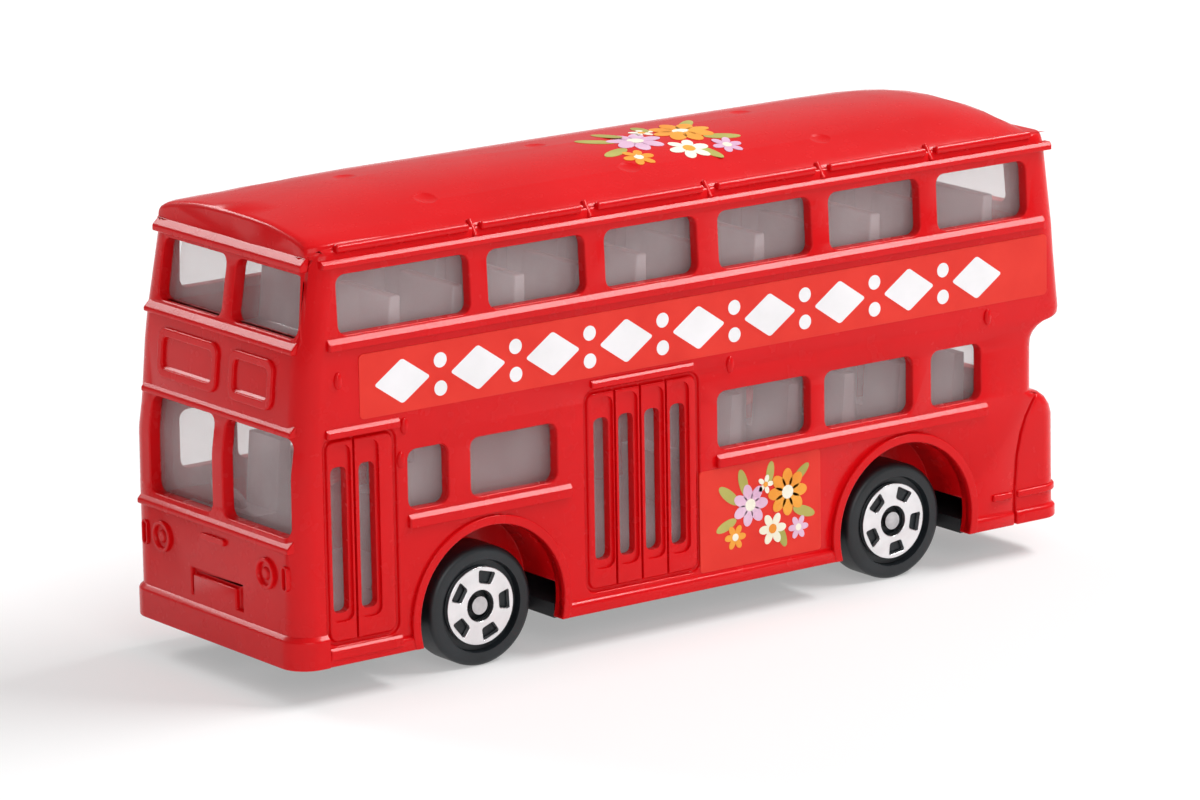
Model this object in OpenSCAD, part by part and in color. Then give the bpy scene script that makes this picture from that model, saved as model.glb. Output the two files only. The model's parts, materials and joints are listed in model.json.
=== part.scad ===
// Toy double decker bus in die-cast metal, on four free-running wheels.
// Millimetres. +X is the front, +Y the bus's left (its door side), +Z up.
// The origin is on the floor, under the middle of the bus.

/* [Overall] */
// Length from the front bumper to the rear overhang
bus_length = 79.6; // [78:0.2:82]
// Width of the body below the upper deck, without ledges and arch lips
body_width = 24.3; // [23.8:0.1:26]
// Height of the body's lower edge above the floor
ground_clearance = 3.0; // [2.6:0.1:3.4]
// Height of the roof gutter
gutter_height = 35.4; // [35:0.1:36.5]
// Height of the roof's crown above the gutter
crown_rise = 4.0; // [3:0.1:5]
// How far the roof gutter leans back from the front face
front_lean = 2.4; // [1.6:0.1:3]
// Thickness of the cast walls
wall = 1.1; // [1:0.1:1.3]

/* [Ledges and trim] */
// How far ledges, lips and lamps stand proud of the body
trim_proud = 0.3; // [0.2:0.05:0.35]
// How far the bumper stands proud of the front face
bumper_proud = 0.4; // [0.3:0.05:0.5]
// Depth of the seams round the doors and the engine cover
seam_depth = 0.3; // [0.2:0.05:0.5]
// Width of those seams
seam_width = 0.35; // [0.2:0.05:0.5]

/* [Windows] */
// Height of the upper deck's window sills
upper_sill = 29.65; // [29.5:0.05:30]
// Height of the upper deck's window heads
upper_head = 34.45; // [34:0.05:34.6]
// Height of the lower deck's window sills
lower_sill = 14.55; // [14.4:0.05:15]
// Height of the lower deck's window heads
lower_head = 19.45; // [19:0.05:20]
// Corner radius of the side windows
window_radius = 0.8; // [0.4:0.1:1.2]
// Thickness of the clear glazing
glazing_thickness = 0.8; // [0.6:0.1:1]

/* [Wheels] */
// Distance between the axles
wheelbase = 42.7; // [42:0.1:43]
// Outer diameter of a wheel
wheel_diameter = 10; // [9.6:0.1:10.2]
// Width of a wheel
wheel_width = 3.5; // [3:0.1:3.6]
// Distance between the outer faces of a pair of wheels
wheel_track = 21.5; // [21.3:0.1:21.8]
// Diameter of an axle
axle_diameter = 1.2; // [1:0.1:1.4]
// Running clearance between an axle and its wheel, on the radius
axle_clearance = 0.05; // [0.03:0.01:0.1]
// Radius of the wheel arch openings
arch_radius = 7.1; // [6.9:0.1:7.3]

/* [Base] */
// Thickness of the base plate
base_thickness = 1.2; // [1:0.1:1.4]
// Diameter of a rivet's shank
rivet_diameter = 1.8; // [1.6:0.1:2]

/* [Hidden] */

$fn = 48;
eps = 0.01;
through = 30;              // longer than any wall is thick
gap = 0.05;                // fitting gap between inner pieces and the casting
corner_steps = 6;          // facets round one corner of a body section

half_length = bus_length / 2;
half_width = body_width / 2;
front_face = half_length - bumper_proud;
crown_height = gutter_height + crown_rise;
deck_height = 22.2;        // underside of the upper deck's floor
belt_height = 28.9;        // ledge under the upper windows
sill_ledge_height = 13.8;  // ledge under the lower windows
overhang_height = 21.3;    // lower edge of the overhang at the rear
waist_height = 19.4;       // top of the set-back rear wall
bustle_height = 14.4;      // bottom of the set-back rear wall, top of the engine cover
bustle_rear = half_length - 0.7;
waist_rear = half_length - 3.15;
wheel_radius = wheel_diameter / 2;
front_axle_x = 20.8;
rear_axle_x = front_axle_x - wheelbase;
axle_radius = axle_diameter / 2;
wheel_inner_y = wheel_track / 2 - wheel_width;
well_inner_y = wheel_inner_y - 0.35;
well_wall = 0.8;

// Outer sections of the body, from the lower edge up to the crown.
// Columns: height, front x, rear x, half width, corner radius
Z = 0; FRONT = 1; REAR = 2; HALF = 3; RADIUS = 4;
SECTIONS = [
    [ground_clearance, front_face, -bustle_rear, half_width, 2.0],
    [12.0, front_face, -bustle_rear + 0.05, half_width, 2.0],
    [13.3, front_face, -bustle_rear + 0.7, half_width, 2.0],
    [bustle_height - 0.1, front_face, -waist_rear - 0.5, half_width, 2.0],
    [bustle_height + 0.4, front_face, -waist_rear, half_width, 2.0],
    [waist_height - 0.7, front_face - 0.05, -waist_rear, half_width, 2.0],
    [waist_height, front_face - 0.15, -waist_rear - 0.3, half_width, 2.0],
    [waist_height + 0.6, front_face - 0.25, -waist_rear - 1.1, half_width, 2.0],
    [waist_height + 1.2, front_face - 0.35, -half_length + 0.4, half_width, 2.0],
    [overhang_height, front_face - 0.45, -half_length, half_width, 2.1],
    [26.0, front_face - 0.9, -half_length + 0.5, half_width, 2.2],
    [belt_height, front_face - 1.3, -half_length + 0.7, half_width - 0.05, 2.2],
    [gutter_height, front_face - front_lean, -half_length + 1.3, half_width - 0.4, 2.2],
    [gutter_height + 0.6, front_face - front_lean - 0.1, -half_length + 1.5, half_width - 0.7, 2.2],
    [gutter_height + 1.2, front_face - front_lean - 0.2, -half_length + 1.8, half_width - 1.0, 2.2],
    [crown_height - 2.1, front_face - front_lean - 0.4, -half_length + 2.6, half_width - 2.8, 2.2],
    [crown_height - 1.4, front_face - front_lean - 1.2, -half_length + 3.6, half_width - 4.6, 2.6],
    [crown_height - 0.8, front_face - front_lean - 4.2, -half_length + 5.2, half_width - 6.6, 3.2],
    [crown_height - 0.3, front_face - front_lean - 7.2, -half_length + 7.8, half_width - 9.0, 2.6],
    [crown_height, front_face - front_lean - 10, -half_length + 11, 0.8, 0.7]
];

// Side windows of the upper deck, the same on both sides.
// Columns: rear x, front x
UPPER_WINDOWS = [
    [22.1, 34.8], [10.7, 20.3], [-0.6, 8.7], [-12.4, -2.8], [-23.9, -14.3], [-35.5, -25.8]
];
// Side windows of the lower deck on the door side
LEFT_WINDOWS = [[24.7, 28.6], [14.0, 22.5], [-12.0, -2.3], [-22.9, -13.5], [-30.3, -24.9]];
// Side windows of the lower deck on the driver's side
RIGHT_WINDOWS = [
    [31.0, 35.2], [22.1, 29.6], [10.7, 20.3], [-0.6, 8.7], [-12.0, -2.8], [-22.9, -14.3], [-30.3, -24.9]
];
// Windows of the front and of the rear. Columns: right y, left y, sill, head
FRONT_WINDOWS = [
    [-9.4, -0.2, upper_sill, upper_head], [1.2, 10.6, upper_sill, upper_head],
    [-9.2, 0, 13.7, 21.7], [1.6, 11.0, 13.7, 21.7]
];
REAR_WINDOWS = [[-6.2, 6.2, upper_sill, upper_head], [-5.2, 5.2, 15.1, 18.8]];
end_cut = 6;               // reach of the cut for those windows, from the end of the bus
// Upright panes in the doors: rear x of each
DOOR_PANES = [0.95, 3.55, 6.2, 8.7, 31.7, 34.4];
door_pane_width = 1.5;
door_pane_bottom = 7.2;
door_pane_top = 19.1;
// Grooves between the door leaves: x of each
LEAF_GROOVES = [3.0, 5.62, 8.2, 33.8];
leaf_groove_width = 0.24;
// Doorways. Columns: rear x, front x
DOORWAYS = [[-0.4, 11.3], [29.7, 36.7]];
doorway_bottom = 4.6;
doorway_top = 21.6;

// Rear edge of the seam round the engine cover, in x and z
COVER_SEAM = [
    [-33.9, 2.8], [-33.95, 6.0], [-34.2, 9.0], [-34.65, 10.9], [-35.2, 12.3], [-35.95, 13.5], [-36.9, 14.6]
];
cover_seam_width = 0.26;

// Ledges and beads along the sides. Columns: rear x, front x
SIDE_BEADS = [
    [21.9, 34.6], [10.85, 20.7], [-1.4, 9.2], [-13.1, -2.95], [-24.8, -14.6], [-36.2, -25.9]
];
REAR_BUMPER = [[-half_length, -34.15], [-33.6, -31.5]];
// Short ledges over the doors and under the windows. Columns: side, rear x, front x, bottom, height
SIDE_LEDGES = [
    [1, 12.7, 28.7, sill_ledge_height - 0.6, 1.0], [1, -30.9, -2.1, sill_ledge_height - 0.6, 1.0],
    [1, 0.2, 10.6, deck_height - 0.45, 0.6], [1, 29.4, 36.2, deck_height - 0.6, 0.7],
    [-1, -30.8, 35.8, sill_ledge_height - 0.6, 1.0]
];
// Ledges across the front. Columns: bottom, top
FRONT_LEDGES = [
    [gutter_height - 0.6, gutter_height + 0.3], [belt_height - 0.45, belt_height + 0.5],
    [deck_height - 0.3, deck_height + 0.5], [sill_ledge_height - 1.2, sill_ledge_height - 0.2]
];
front_ledge_half = 10.8;   // half the length of those ledges
// Ends of the belt ledge and of the gutter. Columns: rear x, front x
BELT = [[-37.2, 36.2]];
GUTTER = [[-38.2, 36.2]];

// Shallow round dimples in the roof, in x and y
ROOF_DIMPLES = [[25.3, -0.8], [22.8, 7.0], [6.3, -0.9], [2.8, 7.4], [-15.3, -1.4], [-16.8, 7.5]];
dimple_depth = 0.14;
dimple_curve = 3.6;

// Destination boxes on the front. Columns: middle y, width
FRONT_BOXES = [[-4.15, 8.7], [5.1, 6.3]];
front_box_height = 25.45;
front_box_size = 4.1;
front_box_frame = 0.75;

// Lamps on the front. Columns: middle y, width, height
LAMPS = [[-7.5, 2.6, 2.6], [7.7, 2.6, 2.6], [-10.0, 0.85, 2.1], [10.5, 0.85, 2.1]];
lamp_height = 10.3;
lamp_bore = 0.64;          // share of a lamp's size taken by its recess
// Number plate, its pocket and the handle above it: two opposite corners of each, in y and z
POCKET = [[-3.4, 6.35], [4.1, 8.55]];
PLATE = [[-3.15, 6.35], [3.1, 8.05]];
HANDLE = [[-1.6, 11.3], [1.9, 11.85]];
bumper_top = 5.75;

// Posts of the casting that take the rivets: x of each
front_post_x = 35.4;
rear_post_x = -36.6;
post_radius = 1.9;
post_top = 11.5;
rivet_top = 9.0;
rivet_head_radius = 1.5;
rivet_head_height = 0.4;
base_bottom = ground_clearance - 0.2;
base_top = base_bottom + base_thickness;

// Value of one column of SECTIONS at any height
function column(c) = [for (s = SECTIONS) [s[Z], s[c]]];
function at(c, z) = lookup(z, column(c));
function section(z) = [z, at(FRONT, z), at(REAR, z), at(HALF, z), at(RADIUS, z)];
// Sections between two heights, with both ends
function sections_between(z1, z2) =
    [section(z1), for (s = SECTIONS) if (s[Z] > z1 + eps && s[Z] < z2 - eps) s, section(z2)];
function raised(sections, dz) = [for (s = sections) [s[Z] + dz, s[FRONT], s[REAR], s[HALF], s[RADIUS]]];
// The lower deck's room ends at the set-back rear wall at every height
function lower_room(z1, z2) =
    [for (s = sections_between(z1, z2)) [s[Z], s[FRONT], -waist_rear, s[HALF], s[RADIUS]]];
// The roof's underside lies one wall below its top
function roof_room() =
    raised([for (s = SECTIONS) if (s[Z] - wall > gutter_height && s[HALF] > 2 * wall) s], -wall);

// One rounded corner, anticlockwise from the start angle
function corner(cx, cy, r, start) =
    [for (i = [0 : corner_steps]) let (a = start + 90 * i / corner_steps) [cx + r * cos(a), cy + r * sin(a)]];
function outline(s, inset) =
    let (r = max(s[RADIUS] - inset, 0.3),
         front = s[FRONT] - inset - r, rear = s[REAR] + inset + r, side = s[HALF] - inset - r)
    concat(corner(front, side, r, 0), corner(rear, side, r, 90),
           corner(rear, -side, r, 180), corner(front, -side, r, 270));

// Closed form through the sections, drawn in by inset
module loft(sections, inset) {
    n = 4 * (corner_steps + 1);
    rings = len(sections);
    points = [for (s = sections) for (p = outline(s, inset)) [p.x, p.y, s[Z]]];
    lower_cap = [[for (i = [0 : n - 1]) i]];
    upper_cap = [[for (i = [n - 1 : -1 : 0]) (rings - 1) * n + i]];
    walls = [
        for (k = [0 : rings - 2]) for (i = [0 : n - 1])
            let (j = (i + 1) % n, a = k * n + i, b = k * n + j, c = b + n, d = a + n)
            each [[a, d, c], [a, c, b]]
    ];
    polyhedron(points, concat(lower_cap, upper_cap, walls), convexity = 6);
}

// Rounded rectangle from two opposite corners
module rounded_rect(low, high, r) {
    translate([low.x + r, low.y]) square([high.x - low.x - 2 * r, high.y - low.y]);
    translate([low.x, low.y + r]) square([high.x - low.x, high.y - low.y - 2 * r]);
    for (x = [low.x + r, high.x - r])
        for (y = [low.y + r, high.y - r])
            translate([x, y]) circle(r, $fn = 24);
}

// Extrudes an outline in x and z towards one side of the bus, between two distances from the middle
module towards_side(side, from, to) {
    mirror([0, side < 0 ? 1 : 0, 0])
        translate([0, to, 0])
            rotate([90, 0, 0])
                linear_extrude(to - from) children();
}

// Extrudes an outline in y and z towards the front or the rear, between two distances
module towards_end(end, from, to) {
    mirror([end < 0 ? 1 : 0, 0, 0])
        translate([from, 0, 0])
            rotate([90, 0, 90])
                linear_extrude(to - from) children();
}

module side_windows(side, windows, sill, head) {
    towards_side(side, half_width - wall - 1.5, through)
        for (w = windows)
            rounded_rect([w[0], sill], [w[1], head], window_radius);
}

module end_windows(end, windows) {
    towards_end(end, half_length - end_cut, half_length + eps)
        for (w = windows)
            rounded_rect([w[0], w[2]], [w[1], w[3]], window_radius);
}

// Thin frame of an outline in x and z, cut into one side
module seam(side, low, high, r) {
    towards_side(side, half_width - seam_depth, through)
        difference() {
            rounded_rect(low, high, r);
            rounded_rect([low.x + seam_width, low.y + seam_width], [high.x - seam_width, high.y - seam_width],
                         r - seam_width);
        }
}

module leaf_grooves() {
    towards_side(1, half_width - seam_depth, through)
        for (x = LEAF_GROOVES)
            translate([x - leaf_groove_width / 2, doorway_bottom + 0.1])
                square([leaf_groove_width, doorway_top - doorway_bottom - 0.2]);
}

// Curved seam between the side and the engine cover
module cover_seam(side) {
    n = len(COVER_SEAM);
    front_edge = [for (i = [n - 1 : -1 : 0]) COVER_SEAM[i] + [cover_seam_width, 0]];
    towards_side(side, half_width - seam_depth, through) polygon(concat(COVER_SEAM, front_edge));
}

// Height of the roof at a distance from the middle
function roof_height(y) = lookup(abs(y), [for (s = SECTIONS) if (s[Z] > gutter_height) [s[HALF], s[Z]]]);

module roof_dimples() {
    reach = dimple_curve - dimple_depth;
    for (d = ROOF_DIMPLES) {
        tilt = atan(roof_height(d.y - 0.5) - roof_height(d.y + 0.5));
        translate([d.x, d.y + reach * sin(tilt), roof_height(d.y) + reach * cos(tilt)]) sphere(dimple_curve);
    }
}

module wheel_places() {
    for (x = [front_axle_x, rear_axle_x])
        for (side = [-1, 1])
            translate([x, 0, wheel_radius])
                mirror([0, side < 0 ? 1 : 0, 0])
                    children();
}

// Cylinder along y between two distances from the middle
module cross_cylinder(r, from, to) {
    translate([0, to, 0])
        rotate([90, 0, 0])
            cylinder(h = to - from, r = r);
}

module arch_lips() {
    intersection() {
        wheel_places() cross_cylinder(arch_radius + 0.55, half_width - wall, half_width + trim_proud);
        translate([-half_length, -through, ground_clearance]) cube([bus_length, 2 * through, through]);
    }
}

module wheel_wells() {
    intersection() {
        wheel_places() cross_cylinder(arch_radius + well_wall, well_inner_y - well_wall, half_width - eps);
        translate([-half_length, -through, wheel_radius + axle_radius + 0.3])
            cube([bus_length, 2 * through, through]);
    }
}

// Ledge round the whole body between two heights
module ring_ledge(bottom, top, proud) {
    loft(sections_between(bottom, top), -proud);
}

module side_ledge(side, rear_x, front_x, bottom, height) {
    towards_side(side, half_width - wall, half_width + trim_proud)
        translate([rear_x, bottom]) square([front_x - rear_x, height]);
}

// Tilted with the front wall at the height z, drawn in y and height from there, extruded outwards
module on_front(z) {
    lean = atan((at(FRONT, z - 2) - at(FRONT, z + 2)) / 4);
    translate([at(FRONT, z), 0, z])
        rotate([0, -lean, 0])
            rotate([90, 0, 90])
                children();
}

module front_boxes() {
    for (b = FRONT_BOXES)
        on_front(front_box_height)
            translate([b[0], 0, -wall])
                difference() {
                    linear_extrude(wall + trim_proud)
                        rounded_rect([-b[1] / 2, -front_box_size / 2], [b[1] / 2, front_box_size / 2], 1);
                    translate([0, 0, wall - seam_depth])
                        linear_extrude(wall)
                            offset(delta = -front_box_frame)
                                square([b[1], front_box_size], center = true);
                }
}

// Pill shape standing on its narrow side
module pill(width, height) {
    rounded_rect([-width / 2, -height / 2], [width / 2, height / 2], width / 2 - eps);
}

module lamps() {
    for (lamp = LAMPS)
        difference() {
            towards_end(1, front_face - wall, front_face + trim_proud)
                translate([lamp[0], lamp_height]) pill(lamp[1], lamp[2]);
            towards_end(1, front_face, front_face + through)
                translate([lamp[0], lamp_height]) pill(lamp[1] * lamp_bore, lamp[2] * lamp_bore);
        }
}

// Pocket in the front, with the number plate left standing in it
module plate_pocket() {
    towards_end(1, front_face - seam_depth, half_length + eps)
        difference() {
            translate(POCKET[0]) square(POCKET[1] - POCKET[0]);
            translate(PLATE[0]) square(PLATE[1] - PLATE[0]);
        }
}

module front_trim() {
    towards_end(1, front_face - wall, front_face + trim_proud)
        rounded_rect(HANDLE[0], HANDLE[1], 0.25);
    intersection() {
        ring_ledge(ground_clearance, bumper_top, bumper_proud);
        translate([half_length - 2.6, -through, 0]) cube([through, 2 * through, through]);
    }
    front_boxes();
    lamps();
}

// Stretches of a ring ledge. Columns: rear x, front x
module ledge_stretches(bottom, top, proud, stretches) {
    intersection() {
        ring_ledge(bottom, top, proud);
        for (s = stretches)
            translate([s[0], -through, 0]) cube([s[1] - s[0], 2 * through, 2 * through]);
    }
}

// Ledge across the front, short of its corners
module front_ledge(bottom, top) {
    intersection() {
        ring_ledge(bottom, top, trim_proud);
        translate([front_face - 4, -front_ledge_half, 0]) cube([through, 2 * front_ledge_half, 2 * through]);
    }
}

module outer_form() {
    loft(SECTIONS, 0);
    ledge_stretches(belt_height - 0.35, belt_height + 0.45, trim_proud, BELT);
    ledge_stretches(gutter_height - 0.3, gutter_height + 0.25, trim_proud, GUTTER);
    ledge_stretches(gutter_height + 0.9, gutter_height + 1.5, 0.2, SIDE_BEADS);
    ledge_stretches(bumper_top - 0.4, bumper_top + 0.2, 0.26, REAR_BUMPER);
    ring_ledge(ground_clearance, ground_clearance + 1.1, 0.2);
    for (l = FRONT_LEDGES) front_ledge(l[0], l[1]);
    for (l = SIDE_LEDGES) side_ledge(l[0], l[1], l[2], l[3], l[4]);
    arch_lips();
    front_trim();
}

// Hollow inside of the casting
module cavity() {
    loft(concat(sections_between(deck_height, gutter_height), roof_room()), wall);
    loft(lower_room(ground_clearance - 1, deck_height + eps), wall);
    translate([-bustle_rear + wall, -half_width + wall, 0]) cube([4, body_width - 2 * wall, 12.0 - wall / 2]);
}

module post(x) {
    translate([x, 0, base_top + gap]) cylinder(h = post_top - base_top, r = post_radius);
}

module post_bore(x) {
    translate([x, 0, 0]) cylinder(h = rivet_top + 0.2, r = rivet_diameter / 2 + gap);
}

module body_shell() {
    color("red")
    difference() {
        union() {
            difference() {
                outer_form();
                cavity();
            }
            wheel_wells();
            post(front_post_x);
            translate([front_post_x, -1, base_top + gap]) cube([3.5, 2, post_top - base_top]);
            post(rear_post_x);
            translate([rear_post_x - 2.2, -1, base_top + gap]) cube([2.2, 2, post_top - base_top]);
        }
        wheel_places() cross_cylinder(arch_radius, well_inner_y, through);
        side_windows(1, UPPER_WINDOWS, upper_sill, upper_head);
        side_windows(-1, UPPER_WINDOWS, upper_sill, upper_head);
        side_windows(1, LEFT_WINDOWS, lower_sill, lower_head);
        side_windows(-1, RIGHT_WINDOWS, lower_sill, lower_head);
        end_windows(1, FRONT_WINDOWS);
        end_windows(-1, REAR_WINDOWS);
        towards_side(1, half_width - wall - 1.5, through)
            for (x = DOOR_PANES)
                rounded_rect([x, door_pane_bottom], [x + door_pane_width, door_pane_top], 0.5);
        for (d = DOORWAYS)
            seam(1, [d[0], doorway_bottom], [d[1], doorway_top], 1);
        leaf_grooves();
        plate_pocket();
        for (side = [-1, 1]) cover_seam(side);
        roof_dimples();
        post_bore(front_post_x);
        post_bore(rear_post_x);
    }
}

// Ring of clear plastic against the inside of the walls, through the sections given
module glazing_ring(sections) {
    first = sections[0];
    last = sections[len(sections) - 1];
    inner = concat(raised([first], -1), sections, raised([last], 1));
    difference() {
        loft(sections, wall + gap);
        loft(inner, wall + gap + glazing_thickness);
    }
}

module upper_glazing() {
    color("lightcyan", 0.4)
        glazing_ring(sections_between(upper_sill - 0.6, upper_head + 0.5));
}

module lower_glazing() {
    ring_bottom = 13.2;
    pane_bottom = door_pane_bottom - 0.2;
    color("lightcyan", 0.4) {
        glazing_ring(lower_room(ring_bottom, deck_height - 0.1));
        for (d = DOORWAYS)
            translate([d[0], half_width - wall - gap - glazing_thickness, pane_bottom])
                cube([d[1] - d[0], glazing_thickness, ring_bottom - pane_bottom]);
    }
}

// Seat for two, seen from its side in x and z, facing the front
module seat(x, floor_z, from_y, to_y, cushion, back) {
    translate([x, 0, floor_z])
        translate([0, to_y, 0])
            rotate([90, 0, 0])
                linear_extrude(to_y - from_y)
                    polygon([
                        [0, -eps], [3.1, -eps], [3.3, cushion], [1.0, cushion],
                        [0.5, back], [-0.5, back], [-0.3, 0]
                    ]);
}

module upper_deck_interior() {
    floor_top = deck_height + 0.8;
    color("antiquewhite") {
        loft([section(deck_height), section(floor_top)], wall + 0.2);
        for (x = [-33.5 : 6.1 : 28])
            for (side = [-1, 1])
                seat(x, floor_top, side < 0 ? -9.3 : 1.7, side < 0 ? -1.7 : 9.3, 3.6, 8.4);
    }
}

module steering_wheel() {
    rim_radius = 1.5;
    column_length = 2.2;
    cylinder(h = column_length, r = 0.35);
    translate([0, 0, column_length])
        rotate_extrude() translate([rim_radius, 0]) circle(0.3, $fn = 16);
    for (turn = [0, 90])
        rotate([0, 0, turn])
            translate([-rim_radius, -0.25, column_length - 0.2]) cube([2 * rim_radius, 0.5, 0.4]);
}

module lower_deck_interior() {
    floor_z = 6.2;
    floor_top = 6.9;
    floor_front = 36.8;
    floor_rear = -34.9;
    inner_half = half_width - wall - 0.2;
    aisle_half = well_inner_y - well_wall - 0.15;
    well_clear = 2 * (arch_radius + well_wall + 0.15);
    dash_top = 12.4;
    color("antiquewhite") {
        difference() {
            translate([floor_rear, -inner_half, floor_z])
                cube([floor_front - floor_rear, 2 * inner_half, floor_top - floor_z]);
            for (x = [front_axle_x, rear_axle_x])
                for (side = [-1, 1])
                    translate([x, side * (through / 2 + aisle_half), floor_z])
                        cube([well_clear, through, 4], center = true);
            translate([front_post_x - post_radius - 0.3, -post_radius - 0.3, 0])
                cube([through, 2 * post_radius + 0.6, through]);
        }
        for (x = [-33.0 : 6.0 : -9])
            for (side = [-1, 1])
                seat(x, floor_top, side < 0 ? -aisle_half : 1.2, side < 0 ? -1.2 : aisle_half, 4.4, 10.2);
        // staircase behind the driver
        for (i = [0 : 4])
            translate([13.2 + 1.8 * i, -aisle_half, floor_top - eps])
                cube([1.8 + eps, 4.4, 14.6 - 2.4 * i]);
        // driver's place
        seat(29.6, floor_top, -8.6, -4.0, 4.6, 10.6);
        translate([floor_front - 1.6, -9.4, floor_z]) cube([1.6, 6.6, dash_top - floor_z]);
        translate([floor_front - 1.4, -6.3, dash_top - 0.6]) rotate([0, -50, 0]) steering_wheel();
    }
}

module axle(x) {
    head_y = wheel_track / 2 - 0.25;
    color("silver")
        translate([x, 0, wheel_radius]) {
            cross_cylinder(axle_radius, -head_y, head_y);
            for (m = [0, 1])
                mirror([0, m, 0])
                    cross_cylinder(axle_radius + 0.15, head_y - 0.45, head_y);
        }
}

module front_axle() { axle(front_axle_x); }
module rear_axle() { axle(rear_axle_x); }

// Springy strip that presses an axle down into its saddles
module spring(x) {
    strip_bottom = wheel_radius + axle_radius + 0.02;
    color("gainsboro") {
        translate([x - 7, -1.5, strip_bottom]) cube([14, 3, 0.3]);
        for (m = [-1, 1])
            translate([x + m * 6.6 - 0.4, -1.5, base_top + 0.01]) cube([0.8, 3, strip_bottom - base_top]);
    }
}

module front_spring() { spring(front_axle_x); }
module rear_spring() { spring(rear_axle_x); }

module rivet(x) {
    color("silver")
        translate([x, 0, base_bottom - rivet_head_height]) {
            cylinder(h = rivet_head_height - 0.01, r = rivet_head_radius);
            cylinder(h = rivet_top - base_bottom + rivet_head_height, r = rivet_diameter / 2);
        }
}

module front_rivet() { rivet(front_post_x); }
module rear_rivet() { rivet(rear_post_x); }

// Floor of the toy: a plate cut back for the wheels, with saddles that hold the axles
module base_plate() {
    clear = 0.15;
    half = half_width - wall - clear;
    rear = -bustle_rear + wall + clear;
    front = front_face - wall - clear;
    wheel_half = wheel_radius + 1.0;
    color("dimgray")
    difference() {
        union() {
            translate([rear, -half, base_bottom]) cube([front - rear, 2 * half, base_thickness]);
            for (x = [front_axle_x, rear_axle_x])
                for (side = [-1, 1])
                    translate([x - 2, side < 0 ? -well_inner_y + 0.2 : well_inner_y - 2.2, base_bottom])
                        cube([4, 2, wheel_radius + axle_radius - base_bottom]);
        }
        for (x = [front_axle_x, rear_axle_x]) {
            for (side = [-1, 1])
                translate([x - arch_radius, side < 0 ? -through - well_inner_y : well_inner_y, 0])
                    cube([2 * arch_radius, through, 2 * wheel_radius]);
            translate([x, 0, wheel_radius]) cross_cylinder(axle_radius + gap, -through, through);
            translate([x - axle_radius - gap, -through, wheel_radius])
                cube([axle_diameter + 2 * gap, 2 * through, wheel_radius]);
            translate([x - 3, -2.5, 0]) cube([6, 5, 2 * wheel_radius]);
        }
        for (x = [front_post_x, rear_post_x])
            translate([x, 0, 0]) cylinder(h = wheel_radius, r = rivet_diameter / 2 + gap);
        translate([0, 0, base_bottom - eps])
            linear_extrude(0.3 + eps)
                difference() {
                    rounded_rect([-13, -8.5], [12, 8.5], 1.5);
                    rounded_rect([-12.4, -7.9], [11.4, 7.9], 1);
                }
    }
}

// Wheel in two steps: tyre with a dished face, and a pierced disc round the hub
module wheel(x, side) {
    disc_radius = 3.2;
    color("black")
        translate([x, 0, wheel_radius])
            mirror([0, side < 0 ? 1 : 0, 0])
                translate([0, wheel_inner_y, 0])
                    rotate([-90, 0, 0])
                        difference() {
                            rotate_extrude($fn = 96)
                                polygon([
                                    [axle_radius + axle_clearance, 0], [wheel_radius - 0.35, 0],
                                    [wheel_radius, 0.35], [wheel_radius, wheel_width - 0.45],
                                    [wheel_radius - 0.15, wheel_width - 0.12],
                                    [wheel_radius - 0.45, wheel_width],
                                    [3.95, wheel_width], [3.8, wheel_width - 0.5],
                                    [disc_radius + 0.1, wheel_width - 0.5], [disc_radius, wheel_width - 0.2],
                                    [1.7, wheel_width - 0.1],
                                    [1.5, wheel_width - 0.85],
                                    [axle_radius + axle_clearance, wheel_width - 0.85]
                                ]);
                            for (i = [0 : 4])
                                rotate([0, 0, 72 * i])
                                    translate([2.4, 0, wheel_width - 0.6]) cylinder(h = 1, r = 0.45, $fn = 24);
                        }
}

module front_left_wheel() { wheel(front_axle_x, 1); }
module front_right_wheel() { wheel(front_axle_x, -1); }
module rear_left_wheel() { wheel(rear_axle_x, 1); }
module rear_right_wheel() { wheel(rear_axle_x, -1); }

body_shell();
base_plate();
upper_glazing();
lower_glazing();
upper_deck_interior();
lower_deck_interior();
front_axle();
rear_axle();
front_spring();
rear_spring();
front_rivet();
rear_rivet();
front_left_wheel();
front_right_wheel();
rear_left_wheel();
rear_right_wheel();
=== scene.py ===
import json
from math import cos, pi, radians, sin

import bpy
from mathutils import Matrix, Vector

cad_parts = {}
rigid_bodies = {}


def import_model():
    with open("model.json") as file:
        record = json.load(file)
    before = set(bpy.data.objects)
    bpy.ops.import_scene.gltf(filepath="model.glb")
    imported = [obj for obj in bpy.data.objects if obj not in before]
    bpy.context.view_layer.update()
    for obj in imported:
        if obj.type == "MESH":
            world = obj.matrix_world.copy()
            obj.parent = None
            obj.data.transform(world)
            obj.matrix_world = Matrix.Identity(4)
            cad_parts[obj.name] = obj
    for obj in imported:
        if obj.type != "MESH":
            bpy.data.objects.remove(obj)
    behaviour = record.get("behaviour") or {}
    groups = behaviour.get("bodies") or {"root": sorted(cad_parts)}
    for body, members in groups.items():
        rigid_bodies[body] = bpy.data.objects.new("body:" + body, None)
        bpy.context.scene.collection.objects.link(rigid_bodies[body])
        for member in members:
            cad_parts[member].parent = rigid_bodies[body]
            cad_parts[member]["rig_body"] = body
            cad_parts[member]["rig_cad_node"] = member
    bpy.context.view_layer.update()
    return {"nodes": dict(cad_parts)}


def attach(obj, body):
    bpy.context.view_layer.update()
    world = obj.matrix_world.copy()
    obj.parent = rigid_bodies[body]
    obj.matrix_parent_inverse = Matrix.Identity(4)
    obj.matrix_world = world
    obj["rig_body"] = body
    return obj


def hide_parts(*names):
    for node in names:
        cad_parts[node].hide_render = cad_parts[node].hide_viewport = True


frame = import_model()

mm = 0.001                 # everything is modelled in millimetres and scaled down when a piece is finished
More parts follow.
